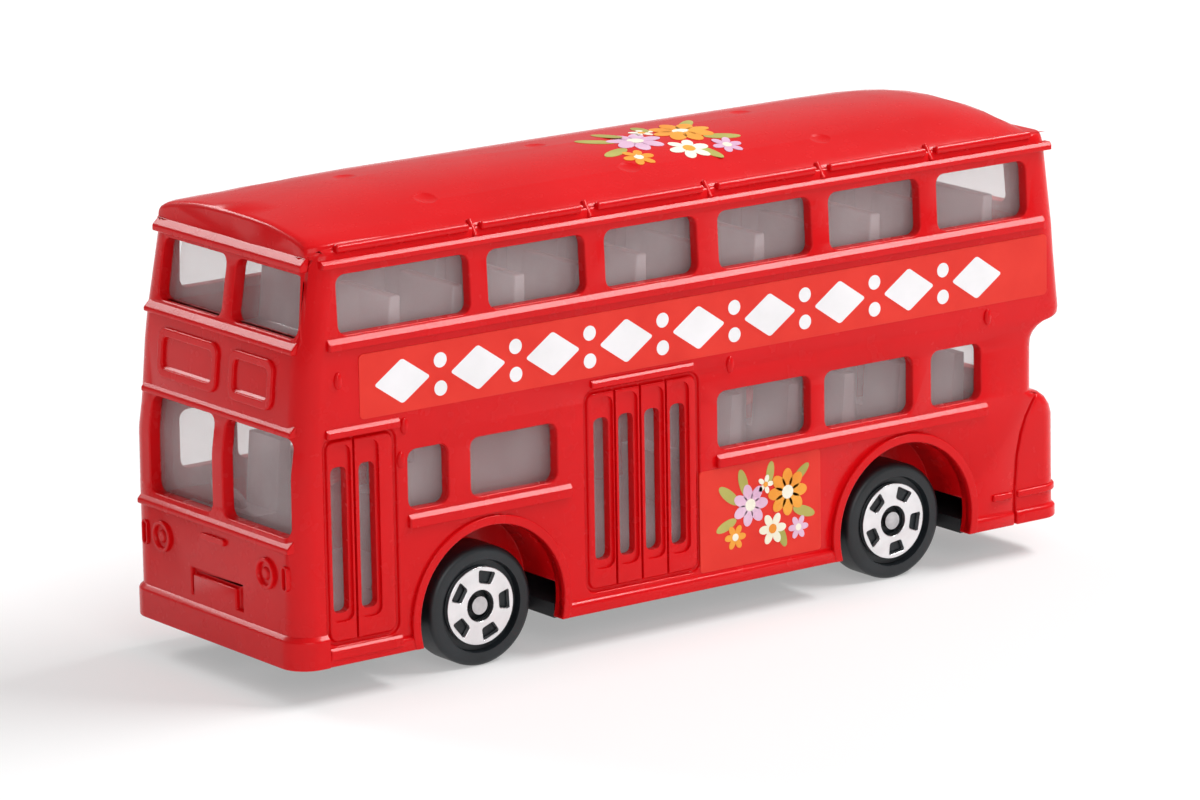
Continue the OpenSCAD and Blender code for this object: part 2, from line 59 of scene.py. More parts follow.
near = 1e-3                # places closer than this count as one
beyond = 16                # how far sideways a cut reaches, past the widest part of the bus


def pick(*pieces):
    bpy.ops.object.select_all(action="DESELECT")
    for piece in pieces:
        piece.select_set(True)
    bpy.context.view_layer.objects.active = pieces[0]


def settle(piece, name):
    piece.name = name
    piece.data.name = name
    pick(piece)
    bpy.ops.object.transform_apply(location=True, rotation=True, scale=True)
    return piece


def block(name, low, high):
    middle = [(a + b) / 2 for a, b in zip(low, high)]
    size = [b - a for a, b in zip(low, high)]
    bpy.ops.object.select_all(action="DESELECT")
    bpy.ops.mesh.primitive_cube_add(size=1, location=middle, scale=size)
    return settle(bpy.context.object, name)


def disc(name, centre, radius, depth, axis="Y", sides=64):
    turn = {"X": (0, pi / 2, 0), "Y": (pi / 2, 0, 0), "Z": (0, 0, 0)}[axis]
    bpy.ops.object.select_all(action="DESELECT")
    bpy.ops.mesh.primitive_cylinder_add(vertices=sides, radius=radius, depth=depth,
                                        location=centre, rotation=turn)
    return settle(bpy.context.object, name)


def selectEdges(piece, wanted):
    pick(piece)
    bpy.ops.object.mode_set(mode="EDIT")
    bpy.ops.mesh.select_mode(type="EDGE")
    bpy.ops.mesh.select_all(action="DESELECT")
    bpy.ops.object.mode_set(mode="OBJECT")
    points = piece.data.vertices
    for edge in piece.data.edges:
        edge.select = wanted(points[edge.vertices[0]].co, points[edge.vertices[1]].co)
    bpy.ops.object.mode_set(mode="EDIT")


def selectFaces(piece, wanted):
    pick(piece)
    bpy.ops.object.mode_set(mode="EDIT")
    bpy.ops.mesh.select_mode(type="FACE")
    bpy.ops.mesh.select_all(action="DESELECT")
    bpy.ops.object.mode_set(mode="OBJECT")
    for face in piece.data.polygons:
        face.select = wanted(face)
    bpy.ops.object.mode_set(mode="EDIT")


def roundEdges(piece, wanted, radius, segments=5):
    selectEdges(piece, wanted)
    bpy.ops.mesh.bevel(offset=radius, segments=segments, affect="EDGES")
    bpy.ops.object.mode_set(mode="OBJECT")


def roundedBlock(name, low, high, radius, axis, segments=5):
    piece = block(name, low, high)
    others = [i for i in range(3) if i != "XYZ".index(axis)]
    roundEdges(piece, lambda a, b: all(abs(a[i] - b[i]) < 1e-4 for i in others), radius, segments)
    return piece


def combine(pieces, name):
    pick(*pieces)
    if len(pieces) > 1:
        bpy.ops.object.join()
    joined = bpy.context.object
    joined.name = name
    return joined


def sortParts(piece):
    pick(piece)
    bpy.context.scene.cursor.location = (173.1, 61.7, -43.3)   # off every plane of symmetry, so no ties
    bpy.ops.object.mode_set(mode="EDIT")
    bpy.ops.mesh.select_all(action="SELECT")
    bpy.ops.mesh.sort_elements(type="CURSOR_DISTANCE", elements={"VERT", "EDGE", "FACE"})
    bpy.ops.object.mode_set(mode="OBJECT")


def applyBoolean(piece, tool, operation, tangled=False):
    sortParts(tool)
    sortParts(piece)
    change = piece.modifiers.new("change", "BOOLEAN")
    change.operation = operation
    change.solver = "EXACT"
    change.use_self = tangled
    change.object = tool
    bpy.ops.object.modifier_apply(modifier=change.name)
    bpy.data.objects.remove(tool)


def cutAway(piece, tool, tangled=False):
    applyBoolean(piece, tool, "DIFFERENCE", tangled)


def joinClose(piece, distance, angle):
    sortParts(piece)
    bpy.ops.object.mode_set(mode="EDIT")
    bpy.ops.mesh.select_all(action="SELECT")
    bpy.ops.mesh.remove_doubles(threshold=distance)
    bpy.ops.mesh.dissolve_limited(angle_limit=radians(angle))
    bpy.ops.object.mode_set(mode="OBJECT")
    sortParts(piece)


def turnOutwards(piece):
    pick(piece)
    bpy.ops.object.mode_set(mode="EDIT")
    bpy.ops.mesh.select_all(action="SELECT")
    bpy.ops.mesh.normals_make_consistent(inside=False)
    bpy.ops.object.mode_set(mode="OBJECT")


def softenEdges(piece, width, segments=2, angle=32, clamp=True):
    pick(piece)
    soft = piece.modifiers.new("soft", "BEVEL")
    soft.width = width
    soft.segments = segments
    soft.limit_method = "ANGLE"
    soft.angle_limit = radians(angle)
    soft.use_clamp_overlap = clamp
    bpy.ops.object.modifier_apply(modifier=soft.name)
    bpy.ops.object.shade_smooth_by_angle(angle=radians(angle))
    even = piece.modifiers.new("even", "WEIGHTED_NORMAL")
    even.keep_sharp = True
    bpy.ops.object.modifier_apply(modifier=even.name)


def loft(name, sections, radius, segments=8):
    height, front, rear, half = sections[0]
    bpy.ops.object.select_all(action="DESELECT")
    bpy.ops.mesh.primitive_plane_add(size=1, location=((front + rear) / 2, 0, height))
    bpy.context.object.scale = (front - rear, 2 * half, 1)
    piece = settle(bpy.context.object, name)
    bpy.ops.object.mode_set(mode="EDIT")
    bpy.ops.mesh.select_all(action="SELECT")
    bpy.ops.mesh.bevel(offset=radius, segments=segments, affect="VERTICES")
    bpy.ops.mesh.select_all(action="SELECT")
    for nextHeight, nextFront, nextRear, nextHalf in sections[1:]:
        shift = ((nextFront + nextRear) - (front + rear)) / 2
        bpy.ops.mesh.extrude_region_move(TRANSFORM_OT_translate={"value": (shift, 0, nextHeight - height)})
        bpy.ops.transform.resize(value=((nextFront - nextRear) / (front - rear), nextHalf / half, 1),
                                 center_override=((nextFront + nextRear) / 2, 0, nextHeight))
        height, front, rear, half = nextHeight, nextFront, nextRear, nextHalf
    bpy.ops.mesh.select_all(action="SELECT")
    bpy.ops.mesh.normals_make_consistent(inside=False)
    bpy.ops.object.mode_set(mode="OBJECT")
    return piece


def finishPiece(piece, body, slotName, *materials):
    piece.data.materials.clear()
    for material in materials:
        piece.data.materials.append(material)
    piece.scale = (mm, mm, mm)
    pick(piece)
    bpy.ops.object.transform_apply(location=True, rotation=True, scale=True)
    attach(piece, body)
    return piece


# finishes

socketNames = {
    "colour": "Base Color", "metal": "Metallic", "rough": "Roughness", "ior": "IOR", "alpha": "Alpha",
    "clear": "Transmission Weight", "coat": "Coat Weight", "coatRough": "Coat Roughness",
    "specular": "Specular IOR Level",
}


def newMaterial(name, **settings):
    material = bpy.data.materials.new(name)
    material.use_nodes = True
    shader = material.node_tree.nodes["Principled BSDF"]
    for socket, value in settings.items():
        shader.inputs[socketNames[socket]].default_value = value
    return material, material.node_tree, shader


def objectNoise(tree, scale, detail=3, rough=0.5):
    place = tree.nodes.new("ShaderNodeTexCoord")
    noise = tree.nodes.new("ShaderNodeTexNoise")
    noise.inputs["Scale"].default_value = scale
    noise.inputs["Detail"].default_value = detail
    noise.inputs["Roughness"].default_value = rough
    tree.links.new(place.outputs["Object"], noise.inputs["Vector"])
    return noise


def varyColour(tree, shader, noise, dark, light, low=0.3, high=0.7):
    ramp = tree.nodes.new("ShaderNodeValToRGB")
    ramp.color_ramp.elements[0].position = low
    ramp.color_ramp.elements[0].color = dark
    ramp.color_ramp.elements[1].position = high
    ramp.color_ramp.elements[1].color = light
    tree.links.new(noise.outputs["Fac"], ramp.inputs["Fac"])
    tree.links.new(ramp.outputs["Color"], shader.inputs["Base Color"])


def varyRoughness(tree, shader, noise, low, high):
    spread = tree.nodes.new("ShaderNodeMapRange")
    spread.inputs["To Min"].default_value = low
    spread.inputs["To Max"].default_value = high
    tree.links.new(noise.outputs["Fac"], spread.inputs["Value"])
    tree.links.new(spread.outputs["Result"], shader.inputs["Roughness"])


def addBump(tree, shader, noise, strength, distance):
    bump = tree.nodes.new("ShaderNodeBump")
    bump.inputs["Strength"].default_value = strength
    bump.inputs["Distance"].default_value = distance
    tree.links.new(noise.outputs["Fac"], bump.inputs["Height"])
    tree.links.new(bump.outputs["Normal"], shader.inputs["Normal"])


def enamel(name, dark, light):
    material, tree, shader = newMaterial(name, coat=0.12, coatRough=0.05, specular=0.14)
    varyColour(tree, shader, objectNoise(tree, 90, 4), dark, light)
    varyRoughness(tree, shader, objectNoise(tree, 700, 2), 0.2, 0.32)
    addBump(tree, shader, objectNoise(tree, 300, 2), 0.12, 0.00004)      # faint orange peel
    return material


def moulded(name, dark, light, rough, grain=2600, strength=0.2, **settings):
    material, tree, shader = newMaterial(name, **settings)
    varyColour(tree, shader, objectNoise(tree, 260, 4), dark, light)
    varyRoughness(tree, shader, objectNoise(tree, 900, 3), rough * 0.85, rough * 1.2)
    addBump(tree, shader, objectNoise(tree, grain, 2), strength, 0.00004)
    return material


def metal(name, dark, light, rough, grain):
    material, tree, shader = newMaterial(name, metal=1.0)
    varyColour(tree, shader, objectNoise(tree, grain, 3), dark, light)
    varyRoughness(tree, shader, objectNoise(tree, grain / 2, 2), rough * 0.8, rough * 1.25)
    addBump(tree, shader, objectNoise(tree, grain * 1.8, 2), 0.2, 0.00004)
    return material


def printInk(name, dark, light):
    return moulded(name, dark, light, 0.4, 1800, 0.1, specular=0.3)


redEnamel = enamel("redEnamel", (0.60, 0.002, 0.004, 1), (0.67, 0.003, 0.006, 1))
clearStyrene = moulded("clearStyrene", (0.70, 0.58, 0.59, 1), (0.86, 0.78, 0.79, 1), 0.07, 150, 0.3,
                       alpha=0.2, specular=1.0)
milkyStyrene = moulded("milkyStyrene", (0.76, 0.66, 0.68, 1), (0.90, 0.84, 0.86, 1), 0.2,
                       clear=0.35, ior=1.49)
blackBase = moulded("blackBase", (0.012, 0.012, 0.014, 1), (0.022, 0.022, 0.025, 1), 0.45)
tyreBlack = moulded("tyreBlack", (0.006, 0.008, 0.010, 1), (0.013, 0.018, 0.022, 1), 0.4, strength=0.3)
silverFoil = metal("silverFoil", (0.78, 0.78, 0.79, 1), (0.90, 0.90, 0.91, 1), 0.3, 800)
drawnSteel = metal("drawnSteel", (0.45, 0.45, 0.46, 1), (0.66, 0.66, 0.67, 1), 0.3, 1200)
inks = {
    "scarlet": printInk("scarletInk", (0.70, 0.020, 0.010, 1), (0.76, 0.030, 0.016, 1)),
    "white": printInk("whiteInk", (0.80, 0.79, 0.80, 1), (0.88, 0.86, 0.88, 1)),
    "olive": printInk("oliveInk", (0.36, 0.33, 0.07, 1), (0.50, 0.46, 0.12, 1)),
    "lilac": printInk("lilacInk", (0.66, 0.38, 0.55, 1), (0.80, 0.56, 0.70, 1)),
    "orange": printInk("orangeInk", (0.80, 0.26, 0.02, 1), (0.88, 0.40, 0.05, 1)),
    "cream": printInk("creamInk", (0.84, 0.80, 0.62, 1), (0.90, 0.88, 0.76, 1)),
}
print("finishes made")

# the casting: outside, rooms, windows and doors

shell = {
    "halfLength": 39.8,
    "halfWidth": 12.15,
    "cornerRadius": 2.0,
    # height, drawn in from the half length at the front and at the rear, drawn in from the half width
    "outside": [
        (3.0, 0.2, 0.5, -0.25), (4.0, 0.2, 0.5, -0.25), (4.2, 0.4, 0.7, 0), (12.0, 0.4, 0.75, 0),
        (12.8, 0.4, 1.0, 0), (13.5, 0.4, 1.5, 0), (14.0, 0.4, 2.2, 0), (14.3, 0.4, 3.0, 0),
        (14.5, 0.42, 3.15, 0),
        (18.4, 0.45, 3.15, 0), (19.0, 0.5, 3.05, 0), (19.5, 0.58, 2.75, 0), (19.95, 0.65, 2.2, 0),
        (20.3, 0.7, 1.45, 0), (20.5, 0.73, 0.5, 0), (20.7, 0.77, 0.1, 0), (21.3, 0.85, 0, 0),
        (26.0, 1.3, 0.5, 0),
        (28.6, 1.65, 0.67, 0.05), (29.4, 1.8, 0.75, 0.1), (35.1, 2.75, 1.27, 0.4), (35.8, 2.85, 1.35, 0.48),
        (36.2, 3.1, 1.42, 0.6), (36.5, 3.3, 1.5, 0.75),
    ],
    "lowerRoom": [(2.0, 1.5, 4.25, 1.1), (18.7, 1.55, 4.25, 1.1), (22.3, 2.0, 4.25, 1.1)],
    "upperRoom": [
        (22.2, 2.0, 1.2, 1.1), (26.0, 2.4, 1.6, 1.1), (28.9, 2.8, 1.8, 1.15), (35.4, 3.9, 2.4, 1.5),
        (35.9, 5.5, 3.7, 4.0), (36.5, 6.9, 4.8, 5.9), (37.1, 8.6, 6.5, 8.0), (37.6, 11.3, 9.1, 10.4),
    ],
    "edge": 0.15,
}
roof = {
    "base": 35.9,
    "crown": 39.28,
    "lipCrown": 38.05,
    # distance from the middle, height, height at the front lip
    "camber": [(-11.25, 36.3, 36.3), (-11.1, 36.65, 36.75), (-10.4, 37.05, 37.05), (-9.3, 37.5, 37.32),
               (-7.5, 38.18, 37.62), (-5.5, 38.75, 37.88), (-3.0, 39.15, 38.0), (0, 39.28, 38.05),
               (3.0, 39.15, 38.0), (5.5, 38.75, 37.88), (7.5, 38.18, 37.62), (9.3, 37.5, 37.32),
               (10.4, 37.05, 37.05), (11.1, 36.65, 36.75), (11.25, 36.3, 36.3)],
    # place along the bus, height of the crown there, width there, share of the lip's shape
    "stations": [
        (36.92, 37.72, 0.945, 1), (36.86, 37.9, 0.95, 1), (36.65, 38.05, 0.96, 1), (36.2, 38.12, 0.98, 1),
        (35.4, 38.25, 1, 0.85), (33.8, 38.52, 1, 0.55), (31.0, 38.88, 1, 0.25), (27.0, 39.17, 1, 0),
        (22.0, 39.28, 1, 0), (10.0, 39.28, 1, 0), (-10.0, 39.28, 1, 0), (-24.0, 39.28, 1, 0),
        (-28.8, 39.22, 1, 0), (-32.0, 39.0, 1, 0), (-34.6, 38.55, 1, 0), (-36.2, 38.0, 0.985, 0),
        (-37.2, 37.4, 0.95, 0), (-37.9, 36.9, 0.89, 0), (-38.25, 36.5, 0.83, 0),
    ],
    "dimples": [(25.3, -0.8), (22.8, 7.0), (6.3, -0.9), (2.8, 7.4), (-15.3, -1.4), (-16.8, 7.5)],
    "dimpleDepth": 0.14,
    "dimpleCurve": 3.6,
}
windows = {
    "radius": 0.8,
    "upper": {"sill": 29.65, "head": 34.45,
              "bays": [(22.1, 34.8), (10.7, 20.3), (-0.6, 8.7), (-12.4, -2.8), (-23.9, -14.3),
                       (-35.5, -25.8)]},
    "left": {"sill": 14.55, "head": 19.45,
             "bays": [(24.7, 28.6), (14.0, 22.5), (-12.0, -2.3), (-22.9, -13.5), (-30.3, -24.9)]},
    "right": {"sill": 14.55, "head": 19.45,
              "bays": [(31.0, 35.2), (22.1, 29.6), (10.7, 20.3), (-0.6, 8.7), (-12.0, -2.8), (-22.9, -14.3),
                       (-30.3, -24.9)]},
    # right edge, left edge, sill, head
    "front": [(-9.4, -0.2, 29.5, 34.5), (1.2, 10.6, 29.5, 34.5), (-9.2, 0.0, 13.7, 21.7),
              (1.6, 11.05, 13.7, 21.7)],
    "rear": [(-6.2, 6.2, 29.65, 34.45), (-5.2, 5.2, 15.1, 18.8)],
}
doors = {
    "panes": [0.95, 3.55, 6.2, 8.7, 31.7, 34.4], "paneWidth": 1.5, "bottom": 7.2, "top": 19.1,
    "ways": [(-0.4, 11.3), (29.7, 36.7)], "wayBottom": 4.6, "wayTop": 21.6, "seam": 0.3, "grooveWidth": 0.35,
    "folds": [3.0, 5.62, 8.2, 33.8], "foldWidth": 0.24,
    "panelMargin": 0.32, "panelBottom": 6.5, "panelTop": 20.9, "panelDepth": 0.24,
}
arches = {
    "places": (20.8, -21.9), "height": 5.0, "radius": 7.1, "wellDepth": 6.9, "wellWall": 0.8, "lip": 0.75,
    "inner": 6.0,                                              # the arch is cut this close to the middle
}
plate = {"pocket": (-3.4, 4.1, 6.35, 8.55), "plate": (-3.15, 3.1, 6.35, 8.05), "depth": 0.45}
cover = {                                                      # engine cover at the rear
    "seam": [(-33.9, 2.8), (-33.95, 6.0), (-34.2, 9.0), (-34.65, 10.9), (-35.2, 12.3), (-35.95, 13.5),
             (-36.9, 14.6)],
    "width": 0.26, "depth": 0.3,
}


def sectionsFrom(table):
    half = shell["halfLength"]
    return [(z, half - front, rear - half, shell["halfWidth"] - side) for z, front, rear, side in table]


def makeRoof():
    stations, camber = roof["stations"], roof["camber"]
    bpy.ops.object.select_all(action="DESELECT")
    bpy.ops.mesh.primitive_grid_add(x_subdivisions=len(stations) - 1,
                                    y_subdivisions=len(camber) - 1, size=2)
    dome = settle(bpy.context.object, "roof")
    for point in dome.data.vertices:
        x, crown, width, share = stations[round((1 - point.co.x) / 2 * (len(stations) - 1))]
        y, height, lip = camber[round((point.co.y + 1) / 2 * (len(camber) - 1))]
        rise = (crown - roof["base"]) / (roof["crown"] - roof["base"])
        domed = roof["base"] + (height - roof["base"]) * rise
        lipped = max(lip + crown - roof["lipCrown"], roof["base"] + 0.1)
        point.co = (x, y * width, (1 - share) * domed + share * lipped)
    bpy.ops.object.mode_set(mode="EDIT")
    bpy.ops.mesh.select_all(action="SELECT")
    bpy.ops.mesh.extrude_region_move(TRANSFORM_OT_translate={"value": (0, 0, -1)})
    bpy.ops.transform.resize(value=(1, 1, 0), center_override=(0, 0, roof["base"]))
    bpy.ops.object.mode_set(mode="OBJECT")
    turnOutwards(dome)
    return dome


def sideCutters():
    r = windows["radius"]
    cutters = []
    upper = windows["upper"]
    for rear, front in upper["bays"]:
        cutters.append(roundedBlock("cut", (rear, -beyond, upper["sill"]),
                                    (front, beyond, upper["head"]), r, "Y"))
    for name, low, high in (("left", 9, beyond), ("right", -beyond, -9)):
        side = windows[name]
        for rear, front in side["bays"]:
            cutters.append(roundedBlock("cut", (rear, low, side["sill"]), (front, high, side["head"]),
                                        r, "Y"))
    for x in doors["panes"]:
        cutters.append(roundedBlock("cut", (x, 9, doors["bottom"]),
                                    (x + doors["paneWidth"], beyond, doors["top"]), 0.5, "Y", 3))
    return cutters


def endCutters():
    r, reach = windows["radius"], shell["halfLength"] + 3
    cutters = []
    for right, left, sill, head in windows["front"]:
        cutters.append(roundedBlock("cut", (34.5, right, sill), (reach, left, head), r, "X"))
    for right, left, sill, head in windows["rear"]:
        cutters.append(roundedBlock("cut", (-reach, right, sill), (-34.3, left, head), r, "X"))
    return cutters


def plateCutters():
    face = shell["halfLength"] - 0.4
    right, left, bottom, top = plate["pocket"]
    pocket = block("cut", (face - plate["depth"], right, bottom), (face + 2, left, top))
    right, left, bottom, top = plate["plate"]
    cutAway(pocket, block("core", (face - 2, right, bottom - 0.2), (face + 3, left, top)))
    return [pocket]


def doorCutters():
    wall, depth = shell["halfWidth"], shell["halfWidth"] - doors["seam"]
    groove = doors["grooveWidth"]
    frames, panels = [], []
    for rear, front in doors["ways"]:
        frameCut = roundedBlock("cut", (rear, depth, doors["wayBottom"]), (front, beyond, doors["wayTop"]),
                                1.0, "Y")
        core = roundedBlock("core", (rear + groove, 0, doors["wayBottom"] + groove),
                            (front - groove, beyond + 2, doors["wayTop"] - groove), 0.7, "Y")
        cutAway(frameCut, core)
        frames.append(frameCut)
    margin = doors["panelMargin"]
    for x in doors["panes"]:                                   # each leaf has a sunk panel round its pane
        panels.append(roundedBlock("cut", (x - margin, wall - doors["panelDepth"], doors["panelBottom"]),
                                   (x + doors["paneWidth"] + margin, beyond, doors["panelTop"]), 0.7, "Y", 4))
    for x in doors["folds"]:
        panels.append(block("cut", (x - doors["foldWidth"] / 2, depth, doors["wayBottom"] + 0.1),
                            (x + doors["foldWidth"] / 2, beyond, doors["wayTop"] - 0.1)))
    return frames, panels


def seamCutter(side):
    low, high = sorted((side * (shell["halfWidth"] - cover["depth"]), side * beyond))
    half = cover["width"] / 2
    start, height = cover["seam"][0]
    blade = block("cut", (start - half, low, height - 0.2), (start + half, high, height))
    for x, z in cover["seam"][1:]:
        selectFaces(blade, lambda face: face.normal.z > 0.9 and face.center.z > height - 0.01)
        bpy.ops.mesh.extrude_region_move(TRANSFORM_OT_translate={"value": (x - start, 0, z - height)})
        bpy.ops.object.mode_set(mode="OBJECT")
        start, height = x, z
    return blade


def dimpleCutters(body):
    cutters = []
    for x, y in roof["dimples"]:
        found, spot, normal, face = body.ray_cast(Vector((x, y, 60)), Vector((0, 0, -1)))
        middle = spot + normal * (roof["dimpleCurve"] - roof["dimpleDepth"])
        bpy.ops.object.select_all(action="DESELECT")
        bpy.ops.mesh.primitive_uv_sphere_add(segments=64, ring_count=32, radius=roof["dimpleCurve"],
                                             location=middle)
        cutters.append(settle(bpy.context.object, "cut"))
    return cutters


def archCutters(radius, inner, outer):
    cutters = []
    for x in arches["places"]:
        for side in (-1, 1):
            middle = side * (inner + outer) / 2
            cutters.append(disc("cut", (x, middle, arches["height"]), radius, outer - inner, "Y", 72))
    return cutters


def makeShell():
    body = loft("bodyShell", sectionsFrom(shell["outside"]), shell["cornerRadius"])
    applyBoolean(body, makeRoof(), "UNION")
    cutAway(body, loft("room", sectionsFrom(shell["lowerRoom"]), 0.9, 4))
    cutAway(body, loft("room", sectionsFrom(shell["upperRoom"]), 0.9, 4))
    cutAway(body, combine(archCutters(arches["radius"], arches["inner"], beyond), "cutters"))
    cutAway(body, combine(sideCutters(), "cutters"))           # overlapping cutters go in separate cuts
    cutAway(body, combine(endCutters(), "cutters"))
    frames, panels = doorCutters()
    cutAway(body, combine([seamCutter(1), seamCutter(-1)], "cutters"))
    cutAway(body, combine(frames + plateCutters(), "cutters"))
    joinClose(body, 0.07, 0.5)                                 # short edges would tangle the rounding
    softenEdges(body, shell["edge"], 3, 32, False)
    cutAway(body, combine(panels + dimpleCutters(body), "cutters"), True)
    print("shell cut:", len(body.data.polygons), "faces")
    return body


bodyShell = makeShell()


def makeWheelWells():
    outer = arches["radius"] + arches["wellWall"]
    wells = combine(archCutters(outer, arches["wellDepth"] - arches["wellWall"], shell["halfWidth"] - 0.4),
                    "wheelWells")
    cutAway(wells, combine(archCutters(arches["radius"], arches["wellDepth"], beyond), "cutters"))
    cutAway(wells, block("below", (-40, -beyond, -5), (40, beyond, arches["height"] + 0.9)))
    softenEdges(wells, 0.15)
    return wells


def makeArchLips():
    wall = shell["halfWidth"]
    lips = combine(archCutters(arches["radius"] + arches["lip"], wall - 0.6, wall + 0.32), "archLips")
    cutAway(lips, combine(archCutters(arches["radius"], arches["inner"], beyond), "cutters"))
    cutAway(lips, block("below", (-40, -beyond, -5), (40, beyond, 3.02)))
    softenEdges(lips, 0.26, 4)
    return lips


finishPiece(makeWheelWells(), "bus", "red_paint", redEnamel)
finishPiece(makeArchLips(), "bus", "red_paint", redEnamel)

trim = {
    # rear x, front x, bottom, top, wall, proud, slope of the top
    "belt": (-37.2, 36.0, 28.55, 29.5, 12.05, 0.42, 0.42),
    "gutter": (-38.2, 36.2, 35.1, 35.75, 11.7, 0.42, 0.3),
    "left": [(12.7, 28.7, 13.1, 14.2, 12.15, 0.36, 0.36), (-30.9, -2.1, 13.1, 14.2, 12.15, 0.36, 0.36),
             (0.2, 10.6, 21.75, 22.35, 12.15, 0.3, 0.2), (29.4, 36.4, 21.55, 22.3, 12.15, 0.36, 0.3),
             (29.6, 36.6, 3.6, 4.5, 12.15, 0.36, 0.2)],
    "right": [(-30.8, 35.8, 13.1, 14.2, 12.15, 0.36, 0.36)],
    "beads": [(21.9, 34.6), (10.85, 20.7), (-1.4, 9.2), (-13.1, -2.95), (-24.8, -14.6), (-36.2, -25.9)],
    "beadPlace": (11.45, 36.5), "beadRadius": 0.36,
    "ribs": [21.3, 10.0, -2.15, -13.85, -25.35],
    "buttonSize": (0.38, 0.3, 0.7),
    # x, height
    "buttons": [(35.1, 26.1), (28.9, 21.5), (29.3, 18.8), (-3.6, 21.6), (-31.0, 21.6)],
}


def ledge(side, rear, front, bottom, top, wall, proud, slope):
    reach = side * (wall + proud)
    low, high = sorted((side * (wall - 0.6), reach))
    bar = block("ledge", (rear, low, bottom), (front, high, top))
    roundEdges(bar, lambda a, b: abs(a.y - reach) + abs(b.y - reach) < near
               and min(a.z, b.z) > top - near, slope, 1)
    roundEdges(bar, lambda a, b: abs(a.y - reach) + abs(b.y - reach) < near
               and abs(a.x - b.x) < near, 0.2, 3)
    softenEdges(bar, 0.09, 3, 25)
    return bar


def makeSideTrim():
    bars = [ledge(1, *place) for place in trim["left"]]
    bars += [ledge(-1, *place) for place in trim["right"]]
    y, height = trim["beadPlace"]
    r = trim["beadRadius"]
    for side in (-1, 1):
        bars.append(ledge(side, *trim["belt"]))
        bars.append(ledge(side, *trim["gutter"]))
        for rear, front in trim["beads"]:
            bead = roundedBlock("bead", (rear, side * y - r, height - r), (front, side * y + r, height + r),
                                r * 0.9, "X", 6)
            softenEdges(bead, 0.16, 3)
            bars.append(bead)
        for x in trim["ribs"]:
            rib = roundedBlock("rib", (x - 0.24, -0.8, -0.3), (x + 0.24, 0.8, 0.22), 0.2, "Y", 4)
            softenEdges(rib, 0.1, 3)
            rib.rotation_euler = (side * radians(-52), 0, 0)
            rib.location = (0, side * 11.25, 36.35)
            bars.append(settle(rib, "rib"))
        for x, z in trim["buttons"]:
            bpy.ops.object.select_all(action="DESELECT")
            bpy.ops.mesh.primitive_uv_sphere_add(segments=24, ring_count=12, radius=1,
                                                 location=(x, side * shell["halfWidth"], z),
                                                 scale=trim["buttonSize"])
            button = settle(bpy.context.object, "button")
            bpy.ops.object.shade_smooth()
            bars.append(button)
    return combine(bars, "sideTrim")


finishPiece(makeSideTrim(), "bus", "red_paint", redEnamel)

frontTrim = {
    "boxHeight": 25.45, "boxSize": 4.1, "boxProud": 0.32, "boxes": [(-4.15, 8.7), (5.1, 6.3)], "lean": 6.0,
    "boxFace": 38.5, "boxFrame": 0.75,
    # face, bottom, top, proud, slope, right edge, left edge
    "ledges": [(37.05, 34.85, 36.05, 0.42, 0.7, -10.8, 10.8), (38.1, 28.35, 29.5, 0.45, 0.8, -10.8, 10.8),
               (38.85, 21.8, 22.8, 0.3, 0.6, -10.6, 11.2), (39.4, 12.5, 13.65, 0.35, 0.75, -10.8, 11.3)],
    # distance from the middle, height
    "lamps": [(-7.5, 10.3), (7.7, 10.3)], "lampRadius": 1.3,
    "ovals": [(-10.0, 10.2), (10.5, 10.4)], "ovalSize": (0.85, 2.1),
    "bumperTop": 5.75, "bumperBack": 36.6, "bumperHalf": 12.5,
    "handle": {"y": (-1.6, 1.9), "z": (11.3, 11.85)},
}


def frontLedge(face, bottom, top, proud, slope, right, left):
    reach = face + proud
    bar = block("ledge", (face - 1.0, right, bottom), (reach, left, top))
    roundEdges(bar, lambda a, b: min(a.z, b.z) > top - near and min(a.x, b.x) > reach - near, slope, 1)
    softenEdges(bar, 0.14, 3, 25)
    return bar


def makeDestinationBoxes():
    boxes = []
    half, edge = frontTrim["boxSize"] / 2, frontTrim["boxFrame"]
    proud = frontTrim["boxProud"]
    for middle, width in frontTrim["boxes"]:
        box = roundedBlock("box", (-1.0, -width / 2, -half), (proud, width / 2, half), 1.0, "X", 6)
        recess = roundedBlock("recess", (proud - 0.75, -width / 2 + edge, -half + edge),
                              (3, width / 2 - edge, half - edge), 0.5, "X", 5)
        cutAway(box, recess)
        lip = block("lip", (-0.8, -width / 2 + edge, -half + 0.4),
                    (proud - 0.05, width / 2 - edge, -half + 1.5))
        roundEdges(lip, lambda a, b: min(a.z, b.z) > 0.5 - half and min(a.x, b.x) > 0
                   and abs(a.x - b.x) < near and abs(a.z - b.z) < near, 0.75, 1)
        softenEdges(box, 0.16, 3)
        softenEdges(lip, 0.08, 2, 20)
        box = combine([box, lip], "box")
        box.rotation_euler = (0, -radians(frontTrim["lean"]), 0)
        box.location = (frontTrim["boxFace"], middle, frontTrim["boxHeight"])
        boxes.append(settle(box, "box"))
    return combine(boxes, "destinationBoxes")


